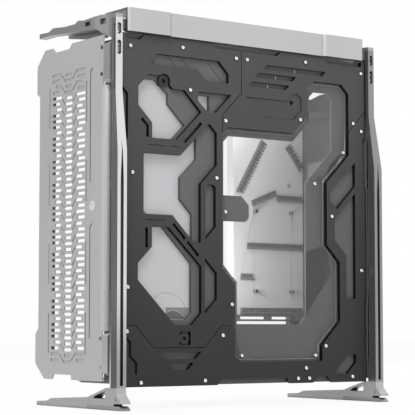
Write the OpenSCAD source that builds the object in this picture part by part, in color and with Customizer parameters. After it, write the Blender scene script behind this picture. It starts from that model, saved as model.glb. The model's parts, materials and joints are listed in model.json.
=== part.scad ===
// Open-frame computer case: two C-shaped side frames carry a layered dark cover
// with a shaped window, a vented front panel, a rear panel, a roof and a floor.
// X runs along the cover, Y away from it, Z up from the floor. Millimetres.

/* [Overall] */
// Height from the floor to the top of the top bar
case_h = 550; // [530:5:580]
// Depth from the toes of the feet to the far edge of the panels
case_d = 228; // [222:2:250]
// Distance between the inner faces of the two side frames
frame_gap = 447; // [447:1:470]

/* [Side frames] */
// Thickness of a side frame's foot and lower column
frame_t = 15; // [13:0.5:18]
// Thickness of the slimmer upper column
upper_t = 11; // [9:0.5:12]
// Depth of the lower column, front to back
column_d = 14; // [12:1:16]
// How far the lower column stands ahead of the upper one
column_step = 12; // [8:1:12]
// Height at which the column starts to slope back
slope_low = 350; // [330:5:370]
// Height at which the upper column starts
slope_high = 432; // [425:1:445]
// Width of the long groove in the column's face
groove_w = 5; // [3:0.5:6]
// Depth of the long groove
groove_depth = 6; // [3:0.5:8]
// Length of a foot or top arm beyond the column
reach = 212; // [190:1:215]
// Height of the foot under the column
foot_h = 30; // [26:1:32]
// Thickness of the sole under the toe
sole_h = 6; // [4:0.5:8]
// Thickness of the trim strip behind the column
strip_t = 3.5; // [2:0.5:4]
// How far the trim strip stands out beside the column
strip_proud = 0.5; // [0.3:0.1:1]

/* [Cover] */
// Thickness of the dark cover plates
cover_t = 6; // [5:0.5:7]
// Gap between the cover and the side frames
cover_gap = 1.5; // [0.5:0.5:3]
// Height of the cover's lower edge above the floor
cover_z = 30; // [26:1:34]
// Width of the seams between the cover plates
seam_w = 1; // [0.5:0.1:1.5]
// Thickness of the backing plate
backing_t = 6; // [5:0.5:8]
// Thickness of the clear window sheet
window_t = 3; // [2:0.5:4]
// How far the window sheet reaches under the cover
window_lap = 5; // [3:0.5:6]
// Radius of a cover screw's head
screw_head_r = 2.8; // [2.2:0.1:3.2]
// Radius of a cover screw's shank
screw_r = 1.5; // [1:0.1:1.8]

/* [Panels] */
// Thickness of the sheet metal panels
sheet_t = 2; // [1.5:0.5:3]
// Number of vent units
vent_count = 25; // [10:1:25]
// Height of one vent slot
vent_slot_h = 4.3; // [2:0.1:4.5]
// Thickness of the roof and floor plates
deck_t = 3; // [2:0.5:4]
// Radius of the power button
button_r = 7.5; // [6:0.5:9]
// Travel of the power button
button_travel = 1.5; // [1:0.1:1.8]

/* [Board and fans] */
// Spacing of the board standoffs across
board_dx = 72.4; // [60:0.1:80]
// Spacing of the board standoffs upwards
board_dz = 124.5; // [110:0.1:130]
// Hole spacing of a roof fan
fan_hole_d = 105; // [100:0.5:105]
// Width of a roof fan
fan_w = 120; // [110:1:124]
// Pitch of the expansion slots
slot_pitch = 20.3; // [19:0.1:20.4]

/* [Top bar] */
// Height of the top bar
bar_h = 33; // [30:1:36]
// Depth of the top bar, front to back
bar_d = 56; // [45:1:70]
// Length of a bar end cap
cap_l = 68; // [60:1:80]
// How far the end caps stand proud of the bar
cap_proud = 4; // [2:0.5:5]

/* [Hidden] */
$fn = 48;
eps = 0.01;
fit = 0.3;

// Places across the case
inner_x = frame_gap / 2;
outer_x = inner_x + frame_t;
upper_x = inner_x + upper_t;
post_x = inner_x + 5.5;
post_in_x = inner_x - 7.5;
cover_x = inner_x - cover_gap;
bar_l = frame_gap - 25;
groove_x = inner_x + frame_t / 2;
slot_x = inner_x + upper_t / 2;

// Places front to back
toe_y = -case_d / 2;
far_y = case_d / 2;
column_y = toe_y + 11;
column_back_y = column_y + column_d;
upper_y = column_y + column_step;
upper_back_y = upper_y + 11.5;
foot_tip_y = column_y + reach;
strip_back_y = column_back_y + strip_t;
cover_y = column_y + 20;
backing_y = cover_y + cover_t;
inside_y = backing_y + backing_t;
post_back_y = inside_y + 15;
deck_far_y = far_y - 8;
post_d = 12;
tray_y = far_y - 40;

// Places up the case
arm_z = case_h - 10;
column_top_z = arm_z - 6;
deck_z = case_h - 47;
floor_z = 35;
cover_h = case_h - 64;
backing_top_z = cover_z + cover_h - 1;
bar_z = case_h - bar_h;
groove_top_z = slope_low + 15;
knee_z = slope_high - 32;
post_low_z = 48;

// Places on the cover follow its size: they were laid out on a cover 444 wide and 486 high
drawn = [444, 486];
function laid(points) = [for (p = points) [p[0] * 2 * cover_x / drawn[0], p[1] * cover_h / drawn[1]]];

// Outline of an XZ shape, given from the cover's lower left corner, pushed into Y
module on_cover(y0, t) {
    translate([-cover_x, y0 + t, cover_z]) rotate([90, 0, 0]) linear_extrude(t) children();
}

// Outline of an XZ shape in the case's own coordinates, pushed into Y
module facing(y0, t) {
    translate([0, y0 + t, 0]) rotate([90, 0, 0]) linear_extrude(t) children();
}

// Outline of a YZ shape in the case's own coordinates, pushed into X
module sideways(x0, t) {
    translate([x0, 0, 0]) rotate([90, 0, 90]) linear_extrude(t) children();
}

// A rod along Y
module rod_y(x, y0, z, r, l) {
    translate([x, y0, z]) rotate([-90, 0, 0]) cylinder(r = r, h = l);
}

// A rod along X
module rod_x(x0, y, z, r, l) {
    translate([x0, y, z]) rotate([0, 90, 0]) cylinder(r = r, h = l);
}

// The left-hand twin of a right-hand part
module both(side) {
    if (side > 0) {
        children();
    } else {
        mirror([1, 0, 0]) children();
    }
}

function turn(a, b) = [-(b[1] - a[1]), b[0] - a[0]] / norm(b - a);
function corner(a, b, c, d) = let (m = turn(a, b), n = turn(b, c)) b - (m + n) * d / (1 + m * n);
// Moves every edge of a clockwise outline outwards by d
function grown(p, d) = let (n = len(p)) [
    for (i = [0:n - 1]) corner(p[(i + n - 1) % n], p[i], p[(i + 1) % n], -d)];

// Outlines on the cover, clockwise, from its lower left corner
window = laid([[344, 448], [398, 448], [412, 434], [412, 341], [368, 297], [368, 204], [393, 179],
    [393, 90], [358, 55], [358, 32], [206, 32], [196, 42], [196, 144], [174, 166], [174, 357],
    [184, 367], [305, 367], [331, 393], [331, 435]]);
window_back = laid([[350, 433], [377, 433], [385, 425], [385, 346], [334, 295], [334, 98], [322, 86],
    [206, 86], [206, 146], [182, 170], [182, 233], [222, 233], [228, 239], [228, 257], [215, 270],
    [182, 270], [182, 347], [191, 356], [310, 356], [342, 388], [342, 425]]);
opening_top = laid([[47, 431], [71, 431], [88, 414], [108, 414], [137, 385], [95, 343], [53, 343],
    [53, 364], [30, 387], [30, 414]]);
opening_top_back = laid([[44, 425], [62, 425], [84, 407], [84, 393], [112, 365], [90, 343], [51, 343],
    [51, 364], [28, 387], [28, 409]]);
opening_mid = laid([[39, 322], [102, 322], [149, 369], [152, 369], [164, 357], [164, 311], [136, 283],
    [136, 200], [124, 200], [87, 237], [43, 237], [39, 241]]);
opening_mid_back = laid([[37, 322], [105, 322], [132, 349], [132, 318], [105, 291], [105, 260],
    [125, 240], [125, 202], [92, 237], [41, 237], [37, 241]]);
opening_low = laid([[53, 220], [81, 220], [137, 167], [137, 101], [120, 84], [92, 84], [30, 146],
    [30, 169], [53, 192]]);
opening_low_back = laid([[51, 220], [75, 220], [124, 171], [124, 102], [114, 92], [84, 92], [29, 148],
    [29, 169], [51, 191]]);
sliver = laid([[134, 410], [155, 410], [155, 388], [146, 388], [134, 400]]);
pockets = [
    [[60, 461], [168, 461], [185, 444], [185, 430], [146, 430], [130, 446], [50, 446]],
    [[131, 414], [190, 414], [162, 386], [148, 386], [131, 401]],
    [[255, 464], [367, 464], [360, 457], [248, 457]],
    [[240, 451], [310, 451], [303, 444], [233, 444]],
    [[227, 437], [297, 437], [290, 430], [220, 430]],
    [[144, 279], [148, 283], [158, 283], [162, 279], [162, 223], [144, 205]],
    [[143, 179], [164, 158], [164, 121], [143, 100]],
    [[424, 330], [424, 294], [388, 258], [374, 272], [374, 285]],
    [[412, 272], [424, 284], [424, 124], [406, 124], [406, 189], [383, 212], [383, 243]],
    [[383, 15], [409, 41], [424, 41], [424, 29], [407, 12], [386, 12]],
    [[67, 47], [137, 47], [127, 37], [77, 37]],
    [[82, 32], [124, 32], [114, 22], [92, 22]],
];
shallow_pocket = laid([[217, 414], [292, 414], [304, 426], [313, 426], [320, 419], [320, 402],
    [304, 386], [245, 386]]);
seam_a = laid([[208, 487], [208, 418], [174, 384], [174, 356]]);
seam_b = laid([[445, 410], [406, 371]]);
seam_c = laid([[-1, 84], [26, 84], [57, 53], [142, 53], [173, 84], [197, 84]]);
slits = [[[37, 367], [45, 359], [45, 346]], [[44, 216], [44, 193]], [[90, 223], [107, 206]],
    [[114, 199], [130, 183]], [[109, 342], [135, 368]]];
fine_lines = [[[45, 333], [74, 333]], [[84, 333], [97, 333]], [[44, 229], [74, 229]]];
edge_line = laid([[12, 66], [17, 60], [17, 42], [27, 32], [27, 19]]);
diamond = laid([[301, 412]])[0];
cover_screw_places = laid([[16, 468], [104, 474], [198, 468], [218, 468], [327, 475], [436, 468],
    [117, 415], [179, 376], [317, 388], [420, 390], [436, 379], [20, 293], [163, 293], [377, 247],
    [435, 167], [13, 136], [190, 114], [12, 76], [174, 70], [364, 54], [326, 22], [311, 7],
    [332, 7], [416, 8], [143, 7], [35, 6]]);
window_screw_places = laid([[212, 41], [349, 40], [405, 345], [349, 295], [183, 246]]);
plug_places = laid([[73, 424], [109, 66]]);
plug_r = 8.5;
plug_shank_r = 6.5;
plug_pocket = 9.5;
slit_w = 4.5;
line_w = 1;
line_depth = 1;
edge_line_w = 4;
edge_line_depth = 3;
shallow_depth = 1.5;
screw_head_h = 1.6;

// A straight band of width w from a to b, square at its ends
module band(a, b, w) {
    d = (b - a) / norm(b - a);
    n = [-d[1], d[0]] * w / 2;
    polygon([a + n - d * w / 2, b + n + d * w / 2, b - n + d * w / 2, a - n - d * w / 2]);
}

module path(points, w) {
    for (i = [0:len(points) - 2]) band(points[i], points[i + 1], w);
}

// Side frames

module column(side) {
    color("silver") both(side) difference() {
        intersection() {
            sideways(inner_x - 1, frame_t + 2) polygon([
                [column_y, foot_h], [column_y, slope_low], [upper_y, slope_high],
                [upper_y, column_top_z], [upper_back_y, column_top_z],
                [upper_back_y, slope_high], [column_back_y, knee_z],
                [column_back_y, foot_h]]);
            facing(column_y - 1, column_step + column_d + 2) polygon([
                [inner_x, foot_h], [inner_x, column_top_z], [upper_x, column_top_z],
                [upper_x, slope_high], [outer_x, slope_low], [outer_x, foot_h]]);
        }
        facing(column_y - 1, groove_depth + 1) polygon([
            [groove_x - groove_w / 2, foot_h + 3], [groove_x + groove_w / 2, foot_h + 3],
            [groove_x + groove_w / 2, slope_low - 40], [groove_x, groove_top_z],
            [groove_x - groove_w / 2, slope_low - 40]]);
        column_slot(column_top_z - 15.5, 16);
        column_slot(column_top_z - 41.5, 20);
        for (z = [column_top_z - 46, column_top_z - 37]) rod_y(slot_x, upper_y, z, 2.2, 8);
        side_groove();
    }
}

// A round-ended slot in the upper column's front face
module column_slot(z, h) {
    slot_r = 3.2;
    for (s = [-1, 1]) rod_y(slot_x, upper_y - 1, z + s * (h / 2 - slot_r), slot_r, 5);
    translate([slot_x - slot_r, upper_y - 1, z - h / 2 + slot_r]) cube([2 * slot_r, 5, h - 2 * slot_r]);
}

module side_groove() {
    translate([upper_x - 1.5, upper_y + 2, slope_high + 3])
        cube([5, 3.5, column_top_z - slope_high - 12]);
}

module column_left() { column(-1); }
module column_right() { column(1); }

module foot_blade(side) {
    toe_z = 11.5;
    slot_z = sole_h + 3;
    color("silver") both(side) sideways(inner_x, frame_t) difference() {
        polygon([
            [column_y, foot_h], [column_y, foot_h - 8], [toe_y, toe_z], [toe_y, slot_z],
            [toe_y + 18, slot_z], [toe_y + 20, sole_h], [toe_y + 85, sole_h], [toe_y + 88, 0],
            [foot_tip_y, 0], [foot_tip_y, 6], [foot_tip_y - 28, 7.5], [foot_tip_y - 40, 11.5],
            [column_y + 75, 16], [column_y + 27, foot_h]]);
        polygon([
            [column_y + 59, 15], [column_y + 29, 15], [column_y + 29, foot_h - 5],
            [column_y + 32, foot_h - 5], [column_y + 55, 18.5]]);
        translate([toe_y + 13, 12]) square([1.5, 6]);
    }
}

module foot_blade_left() { foot_blade(-1); }
module foot_blade_right() { foot_blade(1); }

module foot_sole(side) {
    color("gray") both(side) sideways(inner_x, frame_t) polygon([
        [toe_y, 0], [toe_y + 88 - fit, 0], [toe_y + 85 - fit, sole_h], [toe_y + 6, sole_h],
        [toe_y, 2]]);
}

module foot_sole_left() { foot_sole(-1); }
module foot_sole_right() { foot_sole(1); }

// The arm mirrors the foot: deep at the column, slender at its tip
module top_arm(side) {
    root_w = 24;
    tip_w = 12;
    color("silver") both(side) difference() {
        intersection() {
            sideways(inner_x - root_w, frame_t + root_w) polygon([
                [upper_y, column_top_z], [upper_y, arm_z - 1], [column_y + 48, arm_z + 1.5],
                [column_y + 75, arm_z + 0.5], [column_y + 91, arm_z], [column_y + 103, arm_z + 2],
                [column_y + 108, arm_z + 1], [column_y + 112, arm_z - 1.5],
                [column_y + 143, arm_z - 1.2], [column_y + 171, arm_z + 1.5],
                [column_y + 174, arm_z + 1.5], [column_y + 186, arm_z - 2.5],
                [foot_tip_y, arm_z - 1.5], [foot_tip_y, arm_z - 9],
                [column_y + 184, arm_z - 8], [column_y + 58, arm_z - 17],
                [column_y + 37, arm_z - 28], [upper_back_y, deck_z + deck_t + 0.5],
                [upper_back_y, column_top_z]]);
            translate([0, 0, arm_z - 60]) linear_extrude(80) polygon([
                [outer_x - tip_w, foot_tip_y], [outer_x, foot_tip_y], [outer_x, column_y + 60],
                [upper_x, column_y + 30], [upper_x, upper_y], [inner_x, upper_y],
                [inner_x, upper_back_y + 6], [outer_x - root_w, column_y + 60]]);
        }
        translate([outer_x - 6, column_y + 36, arm_z - 12]) cube([8, 13, 8]);
        translate([outer_x - 6, column_y + 72, arm_z - 10]) cube([8, 14, 6.5]);
    }
    color("silver") both(side) sideways(outer_x - root_w, 3) polygon([
        [column_y + 62, arm_z - 4], [column_y + 62, arm_z - 26], [column_y + 90, arm_z - 25],
        [column_y + 165, arm_z - 13], [column_y + 165, arm_z - 4]]);
}

module top_arm_left() { top_arm(-1); }
module top_arm_right() { top_arm(1); }

// Bright strip between the column and the corner post, in three lengths
module edge_strip(side) {
    breaks = [[foot_h, 150], [158, 300], [308, knee_z - 0.5]];
    color("gainsboro") both(side)
        for (b = breaks)
            translate([inner_x, column_back_y, b[0]])
                cube([frame_t + strip_proud, strip_t, b[1] - b[0]]);
}

module edge_strip_left() { edge_strip(-1); }
module edge_strip_right() { edge_strip(1); }

// Body frame

module near_post(side) {
    color("dimgray") both(side) {
        translate([0, 0, floor_z]) linear_extrude(deck_z - floor_z) polygon([
            [inner_x, upper_back_y], [post_x, upper_back_y], [post_x, post_back_y],
            [post_in_x, post_back_y], [post_in_x, backing_y], [inner_x, backing_y]]);
        sideways(inner_x, post_x - inner_x) polygon([
            [strip_back_y, floor_z], [strip_back_y, knee_z], [column_back_y, knee_z],
            [upper_back_y, slope_high], [upper_back_y + eps, floor_z]]);
    }
}

module near_post_left() { near_post(-1); }
module near_post_right() { near_post(1); }

module far_post(side) {
    color("dimgray") both(side)
        translate([post_x - 11, deck_far_y - post_d, post_low_z])
            cube([11, post_d, deck_z - post_low_z]);
}

module far_post_left() { far_post(-1); }
module far_post_right() { far_post(1); }

module far_rail_upper() {
    color("dimgray") translate([-post_x + 11, deck_far_y - 4, deck_z - 23])
        cube([2 * post_x - 22, 4, 23]);
}

module far_rail_lower() {
    color("dimgray") translate([-post_x + 11, deck_far_y - 4, post_low_z])
        cube([2 * post_x - 22, 4, 24]);
}

fan_places = [-fan_w - 4, 0, fan_w + 4];
fan_y = (inside_y + deck_far_y) / 2;

// Roof with three fan openings and their screw holes
module roof_plate() {
    color("darkgray") difference() {
        translate([-post_x, inside_y, deck_z])
            cube([2 * post_x, deck_far_y - inside_y, deck_t]);
        for (x = fan_places) {
            translate([x, fan_y, deck_z - 1]) cylinder(d = fan_w - 6, h = deck_t + 2);
            for (sx = [-1, 1], sy = [-1, 1])
                translate([x + sx * fan_hole_d / 2, fan_y + sy * fan_hole_d / 2, deck_z - 1])
                    cylinder(r = 2.2, h = deck_t + 2);
        }
    }
}

module floor_plate() {
    color("darkgray") translate([0, 0, floor_z]) difference() {
        union() {
            linear_extrude(deck_t) polygon([
                [-post_x, post_back_y], [-post_x, post_back_y + 60], [-post_x + 55, deck_far_y],
                [post_x - 55, deck_far_y], [post_x, post_back_y + 60], [post_x, post_back_y]]);
            translate([-post_in_x, inside_y, 0])
                cube([2 * post_in_x, post_back_y - inside_y + eps, deck_t]);
        }
        for (x = [-160:8:-64], y = [0:8:72])
            translate([x, y, -1]) cylinder(r = 2.5, h = deck_t + 2, $fn = 6);
    }
}

// Layered cover

module cover_sheet() {
    difference() {
        polygon(laid([
            [0, 0], [165, 0], [173, 8], [290, 8], [298, 0], [340, 0], [349, 9], [368, 9],
            [377, 0], [444, 0], [444, 32], [441, 35], [441, 119], [444, 122], [444, 288],
            [439, 293], [439, 365], [444, 370], [444, 486], [438, 486], [438, 478],
            [370, 478], [362, 486], [281, 486], [274, 479], [162, 479], [155, 486],
            [40, 486], [32, 478], [6, 478], [6, 486], [0, 486], [0, 415], [13, 402],
            [13, 340], [0, 327]]));
        polygon(window);
        polygon(opening_top);
        polygon(opening_mid);
        polygon(opening_low);
        translate(plug_places[0]) circle(r = plug_r + 1.5);
        translate(plug_places[1]) square(2 * plug_pocket, center = true);
        for (p = pockets) polygon(laid(p));
        for (s = slits) path(laid(s), slit_w);
        translate(diamond) circle(r = 4.5, $fn = 4);
        for (s = [seam_a, seam_b, seam_c]) path(s, seam_w);
        for (p = cover_screw_places) translate(p) circle(r = screw_r + 0.2);
    }
}

// One plate of the cover, cut out of the whole sheet along its seams
module cover_plate(region, tint) {
    color(tint) difference() {
        on_cover(cover_y, cover_t) intersection() {
            cover_sheet();
            polygon(laid(region));
        }
        on_cover(cover_y - 1, shallow_depth + 1) polygon(shallow_pocket);
        on_cover(cover_y - 1, line_depth + 1) for (l = fine_lines) path(laid(l), line_w);
        on_cover(cover_y - 1, edge_line_depth + 1) path(edge_line, edge_line_w);
    }
}

module cover_left_plate() {
    cover_plate([[-2, 84], [26, 84], [57, 53], [142, 53], [173, 84], [197, 84], [197, 144],
        [174, 356], [174, 384], [208, 418], [208, 488], [-2, 488]], "dimgray");
}

module cover_upper_plate() {
    cover_plate([[208, 488], [208, 418], [174, 384], [174, 356], [300, 300], [406, 371],
        [446, 411], [446, 488]], "dimgray");
}

module cover_lower_plate() {
    cover_plate([[-2, 84], [26, 84], [57, 53], [142, 53], [173, 84], [197, 84], [300, 100],
        [300, 300], [406, 371], [446, 411], [446, -2], [-2, -2]], "dimgray");
}

// Button-head screws with a hex socket
module screw(x, y, z, l) {
    difference() {
        union() {
            rod_y(x, y - screw_head_h, z, screw_head_r, screw_head_h);
            rod_y(x, y - eps, z, screw_r, l);
        }
        translate([x, y - screw_head_h - 1, z]) rotate([-90, 0, 0])
            cylinder(r = 1.2, h = 2, $fn = 6);
    }
}

module cover_screws() {
    color("white") for (p = cover_screw_places)
        screw(p[0] - cover_x, cover_y, cover_z + p[1], cover_t + backing_t - 1);
}

module window_screws() {
    color("white") for (p = window_screw_places)
        screw(p[0] - cover_x, backing_y, cover_z + p[1], backing_t - 1);
}

module backing_plate() {
    color("gray") difference() {
        on_cover(backing_y, backing_t) difference() {
            translate([cover_x - post_in_x, 1])
                square([2 * post_in_x, backing_top_z - cover_z - 1]);
            polygon(window_back);
            polygon(opening_top_back);
            polygon(opening_mid_back);
            polygon(opening_low_back);
            polygon(sliver);
            translate(diamond) circle(r = 3.5, $fn = 4);
            for (p = plug_places) translate(p) circle(r = plug_shank_r + 0.2);
            for (p = cover_screw_places) translate(p) circle(r = screw_r + 0.1);
            for (p = window_screw_places) translate(p) circle(r = screw_r + 0.1);
        }
        on_cover(backing_y - 1, window_t + 1) polygon(grown(window, window_lap));
    }
}

module window_sheet() {
    color([0.8, 0.85, 0.9, 0.35]) on_cover(backing_y, window_t) difference() {
        polygon(grown(window, window_lap - fit));
        for (p = window_screw_places) translate(p) circle(r = screw_r + 0.2);
        for (p = cover_screw_places) translate(p) circle(r = screw_r + 0.5);
    }
}

// Frosted coolant plate behind the three openings
res_low = laid([[17, 52]])[0];
res_high = laid([[170, 448]])[0];
res_t = 12;
pump_place = laid([[86, 96]])[0];

module reservoir_plate() {
    color("lightgray") difference() {
        on_cover(inside_y, res_t) difference() {
            translate(res_low) square(res_high - res_low);
            for (p = plug_places) translate(p) circle(r = plug_shank_r + 0.2);
        }
        on_cover(inside_y - 1, 2) {
            translate(pump_place) difference() {
                circle(r = 34);
                circle(r = 31);
            }
        }
    }
}

module pump_cap() {
    color("gray") {
        on_cover(inside_y + res_t, 14) translate(pump_place) circle(r = 38);
        on_cover(inside_y + res_t + 14 - eps, 10) translate(pump_place) circle(r = 26);
    }
}

module port_plugs() {
    color("black") for (p = plug_places) {
        x = p[0] - cover_x;
        z = cover_z + p[1];
        difference() {
            union() {
                rod_y(x, backing_y - 4, z, plug_r, 4);
                rod_y(x, backing_y - eps, z, plug_shank_r, backing_t + 8);
            }
            translate([x, backing_y - 5, z]) rotate([-90, 0, 0]) cylinder(r = 3.2, h = 4, $fn = 6);
        }
    }
}

// Vented panel on the left

vent_x = -outer_x;
vent_z0 = 74;
vent_near = cover_y + 64;
vent_far = far_y - 44;
button_y = cover_y + 44;
button_z = 278;
panel_near_y = cover_y + 17;
panel_low_z = floor_z + 3;
panel_top_z = deck_z + 9;
vent_pitch = (panel_top_z - vent_z0 - 24.5) / vent_count;
vent_blind = 2;

// One unit of the vent pattern: a wide V slot with three short slots beside it
module vent_unit(z, inset_w) {
    h = vent_slot_h;
    drop = vent_pitch * 0.65;
    arm_w = (vent_far - vent_near) * 0.27;
    v_w = arm_w + 11;
    thin = 2;
    slot(vent_far - arm_w, vent_far - inset_w, z, h);
    slot(vent_near + v_w, vent_far - v_w, z - drop, h);
    slot(vent_near + inset_w * 0.8, vent_near + arm_w, z, h);
    band([vent_far - arm_w, z], [vent_far - v_w, z - drop], thin);
    band([vent_near + v_w, z - drop], [vent_near + arm_w, z], thin);
    slot(vent_far - arm_w + 4, vent_far, z - vent_pitch / 2, h);
    slot(vent_near + v_w + 1, vent_far - v_w - 1, z - 2.4, h);
    slot(vent_near, vent_near + arm_w - 4, z - vent_pitch / 2, h);
}

module vent_units(first, last) {
    for (i = [first:last]) vent_unit(vent_z0 + i * vent_pitch, i % 2 == 0 ? 0 : 9);
}

module slot(y0, y1, z, h) {
    translate([y0, z - h / 2]) square([y1 - y0, h]);
}

module vent_slits() {
    slit_h = panel_top_z / 9;
    for (y = [vent_near - 3.5, vent_far + 7.5], z = [0.145, 0.337, 0.558, 0.775])
        translate([y - 1.25, z * panel_top_z]) square([2.5, slit_h]);
}

module panel_outline() {
    polygon([
        [panel_near_y, panel_low_z], [far_y - 100, panel_low_z], [far_y - 98, panel_low_z + 7],
        [far_y - 51, panel_low_z + 7], [far_y - 47, panel_low_z], [far_y - 25, panel_low_z],
        [far_y, panel_low_z + 22], [far_y, panel_low_z + 64], [deck_far_y, panel_low_z + 72],
        [deck_far_y, panel_top_z - 67], [far_y, panel_top_z - 62], [far_y, panel_top_z - 22],
        [far_y - 22, panel_top_z], [far_y - 43, panel_top_z], [far_y - 51, panel_top_z - 7],
        [far_y - 89, panel_top_z - 7], [far_y - 97, panel_top_z], [panel_near_y, panel_top_z],
        [panel_near_y, fold_high_z], [fold_y, fold_high_z], [fold_y, fold_low_z],
        [panel_near_y, fold_low_z]]);
}

edge_r = 9;
fold_y = panel_near_y + 5;
bracket_h = 50;
bracket_bevel = 5;
bracket_low_z = 50;
bracket_high_z = deck_z - 54;
fold_low_z = bracket_low_z + bracket_h + bracket_bevel + 1;
fold_high_z = bracket_high_z - bracket_bevel - 1;

module vent_panel() {
    line_y = cover_y + 50;
    line_zs = [0.907, 0.61, 0.485, 0.19];
    color("lightgray") {
        difference() {
            sideways(vent_x, sheet_t) difference() {
                panel_outline();
                vent_units(1, vent_count - vent_blind - 1);
                vent_slits();
                translate([button_y, button_z]) circle(r = button_r + fit);
                for (z = bracket_screw_zs) translate([panel_near_y + 4, z]) circle(r = screw_r + 0.2);
            }
            sideways(vent_x - 1, 1.8) {
                vent_units(0, 0);
                vent_units(vent_count - vent_blind, vent_count - 1);
            }
            for (i = [0, 2]) sideways(vent_x - 1, 2.2)
                path([[line_y - 4, line_zs[i] * panel_top_z + 4], [line_y, line_zs[i] * panel_top_z],
                    [line_y, line_zs[i + 1] * panel_top_z]], 2.4);
        }
        // Rounded fold that closes the near edge between the brackets
        translate([0, 0, fold_low_z]) linear_extrude(fold_high_z - fold_low_z)
            translate([vent_x + edge_r, fold_y]) intersection() {
                difference() {
                    circle(r = edge_r);
                    circle(r = edge_r - sheet_t);
                }
                translate([-edge_r, -edge_r]) square([edge_r, edge_r]);
            }
        translate([vent_x + edge_r, fold_y - edge_r, fold_low_z])
            cube([-post_x - vent_x - edge_r, sheet_t, fold_high_z - fold_low_z]);
        // Far flange that seats on the far post
        translate([vent_x + sheet_t, deck_far_y - 9, post_low_z + 12])
            cube([-post_x - vent_x - sheet_t, 3, deck_z - post_low_z - 24]);
    }
}

bracket_screw_zs = [bracket_low_z + 8, bracket_low_z + bracket_h - 4, bracket_high_z + 9,
    bracket_high_z + bracket_h - 4];

// Blocks that carry the panel at its near corners
module panel_brackets(side) {
    color("silver") both(side) for (z = [bracket_low_z, bracket_high_z])
        facing(upper_back_y, panel_near_y - upper_back_y) polygon([
            [post_x, z - bracket_bevel], [outer_x, z], [outer_x, z + bracket_h],
            [post_x, z + bracket_h + bracket_bevel]]);
}

module panel_brackets_left() { panel_brackets(-1); }
module panel_brackets_right() { panel_brackets(1); }

// Screws at the panel's near corners
module bracket_screws() {
    color("white") for (z = bracket_screw_zs) difference() {
        union() {
            rod_x(vent_x - 0.5, panel_near_y + 4, z, screw_head_r, 0.5);
            rod_x(vent_x - eps, panel_near_y + 4, z, screw_r, -post_x - vent_x);
        }
        translate([vent_x - 1, panel_near_y + 4, z]) rotate([0, 90, 0])
            cylinder(r = 1.2, h = 1.2, $fn = 6);
    }
}

// Power button: cap, retaining flange and stem

flange_x = vent_x + sheet_t + fit;
flange_t = 1.4;
carrier_x = flange_x + flange_t + button_travel + 0.2;
carrier_t = 1.5;

module power_button() {
    color("gainsboro") {
        difference() {
            rod_x(vent_x - 0.5, button_y, button_z, button_r, flange_x - vent_x + 0.5 + eps);
            rod_x(vent_x - 1.5, button_y, button_z, button_r - 2, 1.2);
        }
        rod_x(flange_x, button_y, button_z, button_r + 1.5, flange_t);
        rod_x(flange_x + flange_t - eps, button_y, button_z, 3, button_travel + carrier_t);
    }
}

module button_carrier() {
    carrier_r = button_r + 6;
    color("dimgray") {
        difference() {
            translate([carrier_x, button_y - carrier_r, button_z - carrier_r])
                cube([carrier_t, 2 * carrier_r, 2 * carrier_r]);
            rod_x(carrier_x - 1, button_y, button_z, 3.4, carrier_t + 2);
        }
        for (s = [-1, 1])
            translate([vent_x + sheet_t, button_y - carrier_r, button_z + s * (carrier_r - 1) - 1])
                cube([carrier_x - vent_x - sheet_t + eps, 2 * carrier_r, 2]);
    }
}

module button_switch() {
    switch_w = 13;
    color("black") difference() {
        translate([carrier_x + carrier_t, button_y - switch_w / 2, button_z - switch_w / 2])
            cube([7, switch_w, switch_w]);
        rod_x(carrier_x, button_y, button_z, 3.4, carrier_t + button_travel + 0.6);
    }
}

// Rear panel on the right

io_y = tray_y - 60;
io_z = 212;
io_w = 44.5;
io_h = 158.8;
slot_count = 7;
slot_w = 13;
slot_l = 90;
slot_z0 = floor_z + 22;
slot_y = tray_y - 107;

module rear_panel() {
    color("gray") difference() {
        sideways(post_x, sheet_t) difference() {
            polygon([
                [panel_near_y, floor_z + 3], [deck_far_y - 15, floor_z + 3],
                [deck_far_y, floor_z + 18], [deck_far_y, deck_z - 15],
                [deck_far_y - 15, deck_z], [panel_near_y, deck_z]]);
            translate([io_y, io_z]) square([io_w, io_h]);
            for (i = [0:slot_count - 1])
                translate([slot_y, slot_z0 + i * slot_pitch]) square([slot_l, slot_w]);
            rear_vent();
        }
        for (i = [0:slot_count - 1])
            rod_x(post_x - 1, slot_y - 6, slot_z0 + i * slot_pitch + slot_w / 2, screw_r + 0.1,
                sheet_t + 2);
    }
}

// Peaked opening near the roof and a field of small slots above the board
module rear_vent() {
    polygon([
        [tray_y - 73, deck_z - 40], [tray_y - 73, deck_z - 8], [tray_y - 9, deck_z - 8],
        [tray_y - 9, deck_z - 28], [tray_y - 20, deck_z - 28], [tray_y - 44, deck_z - 23],
        [tray_y - 56, deck_z - 23]]);
    for (y = [0:7], z = [0:4])
        translate([cover_y + 34 + y * 5, deck_z - 110 + z * 16]) square([2.5, 12]);
}

module slot_covers() {
    color("dimgray") for (i = [0:slot_count - 1]) {
        z = slot_z0 + i * slot_pitch - 2;
        difference() {
            translate([post_x + sheet_t, slot_y - 12, z]) cube([1.2, slot_l + 18, slot_w + 4]);
            for (y = [slot_y + 12:12:slot_y + slot_l - 10])
                translate([post_x + sheet_t - 1, y, z + 5]) cube([4, 7, slot_w - 6]);
            rod_x(post_x, slot_y - 6, z + 2 + slot_w / 2, screw_r + 0.2, 10);
        }
    }
}

module slot_screws() {
    color("white") for (i = [0:slot_count - 1]) {
        z = slot_z0 + i * slot_pitch + slot_w / 2;
        rod_x(post_x, slot_y - 6, z, screw_r, sheet_t + 1.2 + eps);
        rod_x(post_x + sheet_t + 1.2, slot_y - 6, z, screw_head_r, screw_head_h);
    }
}

// Board tray inside, seen through the window

tray_x = 89;
tray_t = 1.5;
tray_z = 131;
board_x = post_x - 26;
board_z = 168;
tray_screw_place = [199, 337];

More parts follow.
